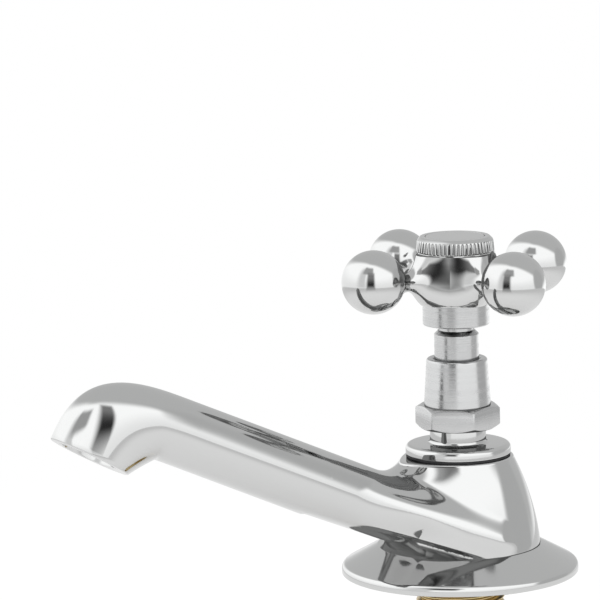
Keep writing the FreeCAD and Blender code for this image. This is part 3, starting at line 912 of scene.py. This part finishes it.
capRing = {
    "outline": [(5.6, 74.1, 0), (7.0, 74.1, 0.2), (7.0, 76.7, 0.05), (9.0, 76.72, 0.05), (9.2, 76.95, 0.05),
                (8.98, 79.15, 0.05), (8.85, 79.5, 0.1), (8.15, 80.2, 0.15), (7.02, 80.2, 0.08),
                (7.02, 79.2, 0.02), (5.6, 79.2, 0), (5.6, 74.1, 0)],
    "ridges": 54,
    "cuts": [0.0, 0.03, 0.12, 0.34, 0.34, 0.12, 0.03, 0.0],   # depth of the groove across one ridge
    "bandLow": 76.85,
    "bandHigh": 79.3,
}
indexDisc = {
    "outline": [(0, 79.25, 0), (6.95, 79.25, 0.05), (6.95, 80.2, 0.18), (0, 80.2, 0)],
    "steps": 128,
}


def makeCapRing():
    print("knurled cap")
    values = capRing
    across = len(values["cuts"])
    cap = turnOnLathe("capRing", roundedOutline(values["outline"], 3, 0), values["ridges"] * across)
    for depth in sorted(set(values["cuts"])):
        if depth == 0:
            continue
        startEdit(cap)
        bpy.ops.mesh.select_all(action="DESELECT")
        shell = bmesh.from_edit_mesh(cap.data)
        for vertex in shell.verts:
            p = vertex.co / mm
            k = round(math.atan2(p.y, p.x) / (2 * math.pi) * values["ridges"] * across) % across
            inBand = values["bandLow"] < p.z < values["bandHigh"] and p.xy.length > 8.4
            vertex.select = inBand and values["cuts"][k] == depth
        bmesh.update_edit_mesh(cap.data)
        scale = 1 - depth / 9.05
        bpy.ops.transform.resize(value=(scale, scale, 1), center_override=(0, 0, 0))
        endEdit()
    smoothByAngle(cap, 40)
    return cap


# adds a node; each input is another node's output, which is linked, or a value, which is set
def addNode(tree, kind, inputs, **settings):
    node = tree.nodes.new("ShaderNode" + kind)
    for key, value in settings.items():
        setattr(node, key, value)
    for key, value in inputs.items():
        if isinstance(value, bpy.types.NodeSocket):
            tree.links.new(value, node.inputs[key])
        else:
            node.inputs[key].default_value = value
    return node


def calc(tree, kind, *inputs):
    return addNode(tree, "Math", dict(enumerate(inputs)), operation=kind).outputs[0]


# start up to low, end from high on; with low above high it runs the other way
def ramp(tree, value, low, high, start=0.0, end=1.0, kind="SMOOTHSTEP"):
    if low > high:
        low, high, start, end = high, low, end, start
    inputs = {"Value": value, "From Min": low, "From Max": high, "To Min": start, "To Max": end}
    return addNode(tree, "MapRange", inputs, interpolation_type=kind).outputs["Result"]


def mixShaders(tree, share, first, second):
    return addNode(tree, "MixShader", {0: share, 1: first.outputs[0], 2: second.outputs[0]})


# the empty node tree of a new material or world
def emptyTree(owner):
    owner.use_nodes = True
    owner.node_tree.nodes.clear()
    return owner.node_tree


def newGroup(name, inputs, outputs):
    group = bpy.data.node_groups.new(name, "ShaderNodeTree")
    for key, start in inputs.items():
        new = group.interface.new_socket(name=key, in_out="INPUT", socket_type="NodeSocketFloat")
        new.default_value = start
    for key in outputs:
        group.interface.new_socket(name=key, in_out="OUTPUT", socket_type="NodeSocketFloat")
    return group, group.nodes.new("NodeGroupInput").outputs, group.nodes.new("NodeGroupOutput").inputs


# irregular rings that a lathe tool leaves: height and mask, read along the tap's axis
def buildTurningRings():
    group, entry, leave = newGroup("turningRings", {"Pitch": 2500.0, "Waver": 0.15}, ("Height", "Streaks"))
    place = addNode(group, "TexCoord", {}).outputs["Object"]
    split = addNode(group, "SeparateXYZ", {0: place})
    wander = addNode(group, "TexNoise", {"Vector": place, "Scale": 60.0}, noise_dimensions="3D")
    shift = calc(group, "MULTIPLY", wander.outputs["Fac"], calc(group, "MULTIPLY", entry["Waver"], mm))
    height = calc(group, "ADD", split.outputs["Z"], shift)
    fine = addNode(group, "TexNoise", {"W": height, "Scale": entry["Pitch"], "Detail": 3.0, "Roughness": 0.7},
                   noise_dimensions="1D")
    coarsePitch = calc(group, "MULTIPLY", entry["Pitch"], 0.3)
    coarse = addNode(group, "TexNoise", {"W": height, "Scale": coarsePitch, "Detail": 1.0},
                     noise_dimensions="1D")
    group.links.new(fine.outputs["Fac"], leave["Height"])
    group.links.new(ramp(group, coarse.outputs["Fac"], 0.42, 0.62, kind="LINEAR"), leave["Streaks"])
    return group


# faint wipe marks and bloom that a polished, handled surface has
def buildPolishBloom():
    group, entry, leave = newGroup("polishBloom", {"Scale": 90.0, "Low": 0.03, "High": 0.07},
                                   ("Roughness", "Height"))
    place = addNode(group, "TexCoord", {}).outputs["Object"]
    cloud = addNode(group, "TexNoise", {"Vector": place, "Scale": entry["Scale"], "Detail": 4.0})
    swell = addNode(group, "TexNoise", {"Vector": place, "Scale": 140.0, "Detail": 1.0})
    spread = ramp(group, cloud.outputs["Fac"], 0.35, 0.7, entry["Low"], entry["High"], "LINEAR")
    group.links.new(spread, leave["Roughness"])
    group.links.new(swell.outputs["Fac"], leave["Height"])
    return group


turningRings = buildTurningRings()
polishBloom = buildPolishBloom()
finishes = {
    "chromePlate": {"colour": (0.70, 0.703, 0.70), "low": 0.05, "high": 0.10, "bump": 0.02},
    "satinChrome": {"colour": (0.64, 0.643, 0.645), "low": 0.15, "high": 0.25, "bump": 0.30, "pitch": 2600.0},
    "rawBrass": {"colour": (0.72, 0.56, 0.29), "low": 0.16, "high": 0.34, "bump": 0.25, "pitch": 3200.0},
    "zincSteel": {"colour": (0.60, 0.60, 0.57), "low": 0.28, "high": 0.48, "bump": 0.1, "pitch": 900.0},
    "sealRubber": {"colour": (0.018, 0.018, 0.02), "low": 0.55, "high": 0.8, "bump": 0.3},
    "graphitePacking": {"colour": (0.05, 0.05, 0.055), "low": 0.45, "high": 0.7, "bump": 0.4},
    "fibreGasket": {"colour": (0.30, 0.08, 0.05), "low": 0.7, "high": 0.9, "bump": 0.4},
}


def newFinish(name, metal=True, turned=False, matt=False):
    values = finishes[name]
    finish = bpy.data.materials.new(name)
    finish.use_nodes = True
    tree = finish.node_tree
    shader = tree.nodes["Principled BSDF"]
    shader.inputs["Metallic"].default_value = 1.0 if metal else 0.0
    shader.inputs["Base Color"].default_value = (*values["colour"], 1)
    bloom = addNode(tree, "Group", {}, node_tree=polishBloom)
    bloom.inputs["Low"].default_value = values["low"]
    bloom.inputs["High"].default_value = values["high"]
    bloom.inputs["Scale"].default_value = 400.0 if matt else 90.0
    roughness, height = bloom.outputs["Roughness"], bloom.outputs["Height"]
    if turned:
        rings = addNode(tree, "Group", {}, node_tree=turningRings)
        rings.inputs["Pitch"].default_value = values["pitch"]
        roughness = calc(tree, "MULTIPLY_ADD", rings.outputs["Streaks"], 0.10, roughness)
        height = rings.outputs["Height"]
    bump = addNode(tree, "Bump", {"Strength": values["bump"], "Distance": 0.00004 if turned else 0.00002,
                                  "Height": height})
    tree.links.new(roughness, shader.inputs["Roughness"])
    tree.links.new(bump.outputs["Normal"], shader.inputs["Normal"])
    return finish


chromePlate = newFinish("chromePlate")
satinChrome = newFinish("satinChrome", turned=True)
rawBrass = newFinish("rawBrass", turned=True)
zincSteel = newFinish("zincSteel", turned=True)
sealRubber = newFinish("sealRubber", metal=False, matt=True)
graphitePacking = newFinish("graphitePacking", metal=False, matt=True)
fibreGasket = newFinish("fibreGasket", metal=False, matt=True)


def dress(piece, finish):
    piece.data.materials.clear()
    piece.data.materials.append(finish)


def fit(piece, body, nodes, finish):
    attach(piece, body)
    if nodes:
        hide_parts(*nodes)
    dress(piece, finish)


fit(makeBody(), "tap", ["body"], chromePlate)
fit(makeFlange(), "tap", ["base_flange"], chromePlate)
fit(turnOnLathe("deckSeal", roundedOutline(deckSeal["outline"], 3, 0), deckSeal["steps"]),
    "tap", ["deck_gasket"], sealRubber)
fit(makeTail(), "tap", ["inlet_tail"], rawBrass)
fit(turnOnLathe("fixingWasher", roundedOutline(fixingWasher["outline"], 3, 0.05), fixingWasher["steps"]),
    "tap", ["fixing_washer"], zincSteel)
fit(makeBackNut(), "tap", ["back_nut"], rawBrass)
fit(turnOnLathe("bonnetRing", roundedOutline(bonnetRing["outline"], 2, 0), bonnetRing["steps"]),
    "tap", ["bonnet_gasket"], sealRubber)
fit(turnOnLathe("bonnetTurning", roundedOutline(bonnetTurning["outline"], 7, 0.06), bonnetTurning["steps"]),
    "tap", ["bonnet"], chromePlate)
hexagon, sleeve = makeGlandNut()
fit(hexagon, "tap", ["gland_nut"], satinChrome)
fit(sleeve, "tap", [], satinChrome)
fit(makeSpindle(), "handle", ["spindle"], satinChrome)
handle, skirt = makeCrossHandle()
fit(handle, "handle", ["cross_handle"], chromePlate)
fit(skirt, "handle", [], satinChrome)
fit(makeCapRing(), "handle", ["cap_ring"], chromePlate)
fit(turnOnLathe("indexDisc", roundedOutline(indexDisc["outline"], 4, 0.05), indexDisc["steps"]),
    "handle", ["index_disc"], chromePlate)

hiddenFinishes = {
    "tail_seal": fibreGasket, "gland_packing": graphitePacking, "packing_follower": rawBrass,
    "jumper": rawBrass, "tap_washer": sealRubber, "washer_nut": rawBrass,
    "screw_washer": zincSteel, "handle_screw": zincSteel,
}
for node, finish in hiddenFinishes.items():
    dress(frame["nodes"][node], finish)


studio = {
    "cameraPlace": (819.152, -573.576, 232.346),
    "yaw": 57.094,          # degrees from looking along +Y
    "pitch": 9.465,
    "roll": -1.25,
    "lens": 259.2,
    "floorZ": -47.0,
}


def makeCamera():
    values = studio
    data = bpy.data.cameras.new("camera")
    camera = bpy.data.objects.new("camera", data)
    bpy.context.collection.objects.link(camera)
    data.lens = values["lens"]
    data.sensor_width = 36
    data.clip_start = 0.01
    data.clip_end = 50
    yaw, pitch, roll = (math.radians(values[k]) for k in ("yaw", "pitch", "roll"))
    back = Vector((math.sin(yaw), -math.cos(yaw), 0))
    right = Vector((math.cos(yaw), math.sin(yaw), 0))
    look = -(back * math.cos(pitch) + Vector((0, 0, math.sin(pitch))))
    up = right.cross(look)
    rightRolled = right * math.cos(roll) + up * math.sin(roll)
    upRolled = up * math.cos(roll) - right * math.sin(roll)
    axes = Matrix((rightRolled, upRolled, -look)).transposed()
    camera.matrix_world = Matrix.Translation(Vector(values["cameraPlace"]) * mm) @ axes.to_4x4()
    bpy.context.scene.camera = camera


# the room that polished metal mirrors: bearings are degrees from the tap's front right, as seen from above
room = {
    "front": -35.0,          # compass direction of bearing 0, in degrees from +X
    "wall": 1.33,
    "wallFoot": (-10, 26, 0.80),            # from this height to that the wall brightens from this share
    "ceiling": (70, 84),                    # heights between which the wall turns into the grey ceiling
    "floorTone": 0.70,
    "backTone": 0.58,
    "sideTone": 0.53,
    "back": (152.0, 47.0, 64.0, 50.0),      # bearing, elevation, outer and inner radius of the grey back wall
    "side": (103.0, 4.0, 30.0, 20.0),
    "lowGlow": (150.0, -33.0, 34.0, 22.0),
    "shade": ((-68, -46, -34, -24), (-14, -6, 44, 64), 0.80),   # bearings, heights and tone of a dim patch
    "gap": ((-52, -38, -4, 8), (32, 40, 56, 66), 0.42),
    "horizon": (-10.5, -13.5),
    # painted shade: share of the room's and floor's light left for a ray after a second mirror bounce,
    # darkening narrow gaps
    "secondBounceShade": 0.22,
}


# painted shade: a mirrored ray that has gone from piece to piece keeps only this share of its strength, which
# darkens narrow gaps as shade
def paintedGapShade(tree, rays, kind):
    return ramp(tree, rays["Glossy Depth"], 1.0, 2.0, 1.0, room["secondBounceShade"], kind)


def buildRoom():
    print("studio room")
    world = bpy.data.worlds.new("studioRoom")
    bpy.context.scene.world = world
    tree = emptyTree(world)
    rays = addNode(tree, "LightPath", {}).outputs
    place = addNode(tree, "TexCoord", {}).outputs["Generated"]
    x, y, z = addNode(tree, "SeparateXYZ", {0: place}).outputs
    height = calc(tree, "MULTIPLY", calc(tree, "ARCSINE", z), 180 / math.pi)
    turn = calc(tree, "MULTIPLY", calc(tree, "ARCTAN2", y, x), 180 / math.pi)
    turn = calc(tree, "FLOORED_MODULO", calc(tree, "ADD", turn, 180.0 - room["front"]), 360.0)
    bearing = calc(tree, "SUBTRACT", turn, 180.0)

    def band(value, a, b, c, d):
        return calc(tree, "MULTIPLY", ramp(tree, value, a, b), ramp(tree, value, c, d, 1.0, 0.0))

    # base where the mask is 0, tone where it is 1
    def blend(base, tone, mask):
        rest = calc(tree, "MULTIPLY", base, calc(tree, "SUBTRACT", 1.0, mask))
        return calc(tree, "ADD", rest, calc(tree, "MULTIPLY", mask, tone))

    def patch(key):
        around, up, outer, inner = (math.radians(angle) for angle in room[key])
        around += math.radians(room["front"])
        towards = (math.cos(up) * math.cos(around), math.cos(up) * math.sin(around), math.sin(up))
        near = addNode(tree, "VectorMath", {0: place, 1: towards}, operation="DOT_PRODUCT")
        return ramp(tree, near.outputs["Value"], math.cos(outer), math.cos(inner))

    low, high, dim = room["wallFoot"]
    tone = calc(tree, "MULTIPLY", ramp(tree, height, low, high, dim, 1.0), room["wall"])
    tone = blend(tone, room["backTone"], patch("back"))
    tone = blend(tone, room["sideTone"], patch("side"))
    tone = blend(tone, room["backTone"], ramp(tree, height, *room["ceiling"]))
    # the dim gap between the lights
    for key in ("shade", "gap"):
        bearings, heights, dimTone = room[key]
        tone = blend(tone, dimTone, calc(tree, "MULTIPLY", band(bearing, *bearings), band(height, *heights)))
    tone = blend(tone, room["floorTone"], ramp(tree, height, *room["horizon"]))
    tone = blend(tone, room["wall"], patch("lowGlow"))
    # painted shade in narrow gaps: the room dims for rays that have bounced between pieces
    tone = calc(tree, "MULTIPLY", tone, paintedGapShade(tree, rays, "SMOOTHSTEP"))

    plain = addNode(tree, "Background", {"Color": (1, 1, 1, 1)})
    mirrored = addNode(tree, "Background", {"Color": (0.995, 1.0, 1.0, 1), "Strength": tone})
    choose = mixShaders(tree, rays["Is Glossy Ray"], plain, mirrored)
    addNode(tree, "OutputWorld", {"Surface": choose.outputs[0]})


floorDisc = {
    "radius": 520.0,
    "clear": (0.16, 0.40),      # metres from the axis between which the shadow fades out
    "tone": 0.93,
    "keepShadow": 0.55,
}


def makeFloor():
    values = floorDisc
    bpy.ops.mesh.primitive_circle_add(vertices=96, radius=values["radius"] * mm, fill_type="NGON",
                                      location=(0, 0, studio["floorZ"] * mm))
    floor = rename(bpy.context.object, "studioFloor")
    finish = bpy.data.materials.new("paleFloor")
    tree = emptyTree(finish)
    rays = addNode(tree, "LightPath", {}).outputs
    matt = addNode(tree, "BsdfDiffuse", {"Color": (values["tone"], values["tone"], values["tone"], 1)})
    level = ramp(tree, rays["Is Glossy Ray"], 0.0, 1.0, 1.0, room["floorTone"], "LINEAR")
    # painted shade in narrow gaps: the floor dims the same way for rays that have bounced between pieces
    level = calc(tree, "MULTIPLY", level, paintedGapShade(tree, rays, "LINEAR"))
    glow = addNode(tree, "Emission", {"Strength": level})
    place = addNode(tree, "TexCoord", {}).outputs["Object"]
    reach = addNode(tree, "VectorMath", {0: place}, operation="LENGTH").outputs["Value"]
    fade = ramp(tree, reach, *values["clear"], 1 - values["keepShadow"], 1.0)
    direct = calc(tree, "MAXIMUM", rays["Is Camera Ray"], rays["Is Glossy Ray"])
    top = mixShaders(tree, calc(tree, "MULTIPLY", fade, direct), matt, glow)
    # from below the floor can't be seen
    side = addNode(tree, "NewGeometry", {}).outputs["Backfacing"]
    seen = mixShaders(tree, side, top, addNode(tree, "BsdfTransparent", {}))
    addNode(tree, "OutputMaterial", {"Surface": seen.outputs[0]})
    dress(floor, finish)


# a dark card that stands between the lights near the tap's front; only the polished metal mirrors it
darkCard = {
    "place": (76.0, -93.0, 104.0),
    "size": (72.0, 160.0),
    "low": 0.03,
    "high": 0.24,
    "change": (0.30, 0.62),     # share of the height over which it brightens
    "softEdge": (0.40, 1.0),
}


def makeCard():
    width, height = darkCard["size"]
    x, y = darkCard["place"][:2]
    bpy.ops.mesh.primitive_plane_add(size=1, rotation=(math.pi / 2, 0, math.atan2(y, x) + math.pi / 2))
    card = rename(bpy.context.object, "darkCard")
    card.scale = (width * mm, height * mm, 1)
    card.location = Vector(darkCard["place"]) * mm
    card.visible_camera = False
    card.visible_diffuse = False
    card.visible_shadow = False
    finish = bpy.data.materials.new("darkCard")
    tree = emptyTree(finish)
    place = addNode(tree, "TexCoord", {}).outputs["Generated"]
    share = addNode(tree, "SeparateXYZ", {0: place}).outputs["Y"]
    tone = ramp(tree, share, *darkCard["change"], darkCard["low"], darkCard["high"])
    glow = addNode(tree, "Emission", {"Strength": tone})
    centred = addNode(tree, "VectorMath", {0: place, 1: (2, 2, 0), 2: (-1, -1, 0)}, operation="MULTIPLY_ADD")
    outward = addNode(tree, "VectorMath", {0: centred.outputs[0]}, operation="ABSOLUTE")
    sides = addNode(tree, "SeparateXYZ", {0: outward.outputs[0]}).outputs
    edge = ramp(tree, calc(tree, "MAXIMUM", sides["X"], sides["Y"]), *darkCard["softEdge"])
    mix = mixShaders(tree, edge, glow, addNode(tree, "BsdfTransparent", {}))
    addNode(tree, "OutputMaterial", {"Surface": mix.outputs[0]})
    dress(card, finish)


lamps = {
    "overhead": {"place": (300, -500, 900), "size": 700, "power": 3.0},
}


def makeLamps():
    for name, values in lamps.items():
        data = bpy.data.lights.new(name, "AREA")
        data.shape = "DISK"
        data.size = values["size"] * mm
        data.energy = values["power"]
        lamp = bpy.data.objects.new(name, data)
        lamp.location = Vector(values["place"]) * mm
        lamp.rotation_euler = (-lamp.location).to_track_quat("-Z", "Y").to_euler()
        lamp.visible_glossy = False
        bpy.context.collection.objects.link(lamp)


makeCamera()
buildRoom()
makeFloor()
makeCard()
makeLamps()
bpy.context.scene.view_settings.view_transform = "Standard"
